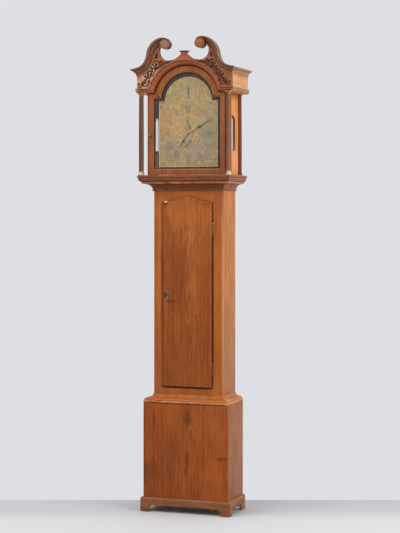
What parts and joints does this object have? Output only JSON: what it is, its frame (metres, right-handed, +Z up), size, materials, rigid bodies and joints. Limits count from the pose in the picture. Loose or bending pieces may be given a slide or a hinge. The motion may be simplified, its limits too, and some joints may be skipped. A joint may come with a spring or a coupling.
{
  "type": "longcase pendulum clock",
  "caption": "Tall oak longcase clock with swan-neck pediment, arched brass dial behind a glazed hood door, weight-driven movement and seconds pendulum.",
  "frame": {"origin": "on the floor, under the middle of the whole clock", "axes": "+Z up, the dial and doors face -Y, the back stands against a wall on the +Y side, +X is to the right of a person who faces the clock"},
  "size_m": [0.535, 0.282, 2.3146],
  "materials": {
    "oak": "waxed oak, orange brown",
    "side_oak": "waxed oak, paler on the sides",
    "dark_oak": "waxed oak, dark mouldings",
    "pine": "bare softwood, aged",
    "brass": "lacquered brass",
    "dial_brass": "engraved, silvered and matted brass",
    "steel": "blued and dark steel",
    "cast_iron": "rough cast",
    "window_glass": "thin clear sheet",
    "gut": "twisted gut line"
  },
  "bodies": {
    "case": {"backboard": "pine", "base_front": "oak", "base_side_left": "side_oak", "base_side_right": "side_oak", "skirt_front": "dark_oak", "skirt_left": "dark_oak", "skirt_right": "dark_oak", "waist_moulding": "dark_oak", "trunk_side_left": "side_oak", "trunk_side_right": "side_oak", "trunk_front_frame": "oak", "throat_moulding": "dark_oak", "trunk_hinge_upper": "brass", "trunk_hinge_lower": "brass", "seatboard": "pine", "back_plate": "brass", "front_plate": "brass", "bell": "brass", "dial_plate": "dial_brass", "going_line": "gut", "strike_line": "gut"},
    "trunk_door_body": {"trunk_door": "oak", "trunk_lock": "steel"},
    "lock_bolt_body": {"trunk_lock_bolt": "brass"},
    "key_body": {"trunk_key": "steel"},
    "hood_body": {"hood_rail": "dark_oak", "hood_side_left": "side_oak", "hood_side_right": "side_oak", "side_glass_left": "window_glass", "side_glass_right": "window_glass", "front_column_left": "dark_oak", "front_column_right": "dark_oak", "arch_moulding": "dark_oak", "scroll_board": "dark_oak", "entablature_left": "side_oak", "entablature_right": "side_oak", "swan_neck_left": "dark_oak", "swan_neck_right": "dark_oak", "hood_roof": "pine"},
    "hood_door_body": {"hood_door": "oak", "hood_door_glass": "window_glass", "hood_hinge_lower": "brass", "hood_hinge_upper": "brass", "hood_door_knob": "brass"},
    "going_barrel_body": {"going_barrel": "brass"},
    "strike_barrel_body": {"strike_barrel": "brass"},
    "centre_body": {"centre_wheel": "brass", "minute_hand": "steel"},
    "third_wheel_body": {"third_wheel": "brass"},
    "escape_body": {"escape_wheel": "brass", "seconds_hand": "steel"},
    "anchor_body": {"anchor": "steel"},
    "pendulum_body": {"pendulum_rod": "steel", "pendulum_bob": "brass"},
    "hour_body": {"hour_hand": "steel"},
    "date_body": {"date_hand": "steel"},
    "strike_selector_body": {"strike_selector_hand": "steel"},
    "hammer_body": {"bell_hammer": "steel"},
    "going_weight_body": {"going_weight": "cast_iron"},
    "strike_weight_body": {"strike_weight": "cast_iron"}
  },
  "joints": [
    {"name": "trunk_door_hinge", "type": "hinge", "parent": "case", "child": "trunk_door_body", "pos_m": [0.1285, -0.05, 1.062], "axis": [0, 0, 1], "range_deg": [0, 110]},
    {"name": "key_turn", "type": "hinge", "parent": "trunk_door_body", "child": "key_body", "pos_m": [-0.108, -0.059, 1.062], "axis": [0, 1, 0], "range_deg": [0, 180]},
    {"name": "lock_bolt_slide", "type": "slide", "parent": "trunk_door_body", "child": "lock_bolt_body", "axis": [-1, 0, 0], "range_m": [0, 0.012]},
    {"name": "hood_slide", "type": "slide", "parent": "case", "child": "hood_body", "axis": [0, -1, 0], "range_m": [0, 0.24]},
    {"name": "hood_door_hinge", "type": "hinge", "parent": "hood_body", "child": "hood_door_body", "pos_m": [0.2014, -0.0718, 1.847], "axis": [0, 0, 1], "range_deg": [0, 100]},
    {"name": "pendulum_swing", "type": "hinge", "parent": "case", "child": "pendulum_body", "pos_m": [0, 0.103, 1.93], "axis": [0, 1, 0], "range_deg": [-3.5, 3.5]},
    {"name": "anchor_rock", "type": "hinge", "parent": "case", "child": "anchor_body", "pos_m": [0, 0.055, 1.93], "axis": [0, 1, 0], "range_deg": [-3.5, 3.5]},
    {"name": "centre_arbor_turn", "type": "hinge", "parent": "case", "child": "centre_body", "pos_m": [0, 0.016, 1.849], "axis": [0, 1, 0], "continuous": true},
    {"name": "third_arbor_turn", "type": "hinge", "parent": "case", "child": "third_wheel_body", "pos_m": [0.01119, 0.041, 1.87597], "axis": [0, 1, 0], "continuous": true},
    {"name": "escape_arbor_turn", "type": "hinge", "parent": "case", "child": "escape_body", "pos_m": [0, 0.016, 1.899], "axis": [0, 1, 0], "continuous": true},
    {"name": "hour_hand_turn", "type": "hinge", "parent": "case", "child": "hour_body", "pos_m": [0, -0.019, 1.849], "axis": [0, 1, 0], "continuous": true},
    {"name": "date_hand_turn", "type": "hinge", "parent": "case", "child": "date_body", "pos_m": [0, -0.046, 1.799], "axis": [0, 1, 0], "continuous": true},
    {"name": "strike_selector_turn", "type": "hinge", "parent": "case", "child": "strike_selector_body", "pos_m": [0, -0.046, 2.052], "axis": [0, 1, 0], "range_deg": [0, 90]},
    {"name": "bell_hammer_lift", "type": "hinge", "parent": "case", "child": "hammer_body", "pos_m": [-0.047, 0.033, 1.915], "axis": [0, -1, 0], "range_deg": [0, 10]},
    {"name": "going_weight_rise", "type": "slide", "parent": "case", "child": "going_weight_body", "axis": [0, 0, 1], "range_m": [0, 1.2566], "deforming": ["going_line"]},
    {"name": "strike_weight_rise", "type": "slide", "parent": "case", "child": "strike_weight_body", "axis": [0, 0, 1], "range_m": [0, 1.2566], "deforming": ["strike_line"]},
    {"name": "going_barrel_turn", "type": "hinge", "parent": "case", "child": "going_barrel_body", "pos_m": [0.042, 0.046, 1.833], "axis": [0, 1, 0], "range_deg": [0, 5760]},
    {"name": "strike_barrel_turn", "type": "hinge", "parent": "case", "child": "strike_barrel_body", "pos_m": [-0.042, 0.046, 1.833], "axis": [0, 1, 0], "range_deg": [0, 5760]}
  ],
  "couplings": [
    {"joint": "lock_bolt_slide", "follows": "key_turn", "m_per_rad": 0.0038197},
    {"joint": "anchor_rock", "follows": "pendulum_swing", "ratio": 1},
    {"joint": "hour_hand_turn", "follows": "centre_arbor_turn", "ratio": 0.083333},
    {"joint": "third_arbor_turn", "follows": "centre_arbor_turn", "ratio": -7.5},
    {"joint": "escape_arbor_turn", "follows": "centre_arbor_turn", "ratio": 60},
    {"joint": "going_barrel_turn", "follows": "going_weight_rise", "rad_per_m": 80},
    {"joint": "strike_barrel_turn", "follows": "strike_weight_rise", "rad_per_m": 80}
  ]
}
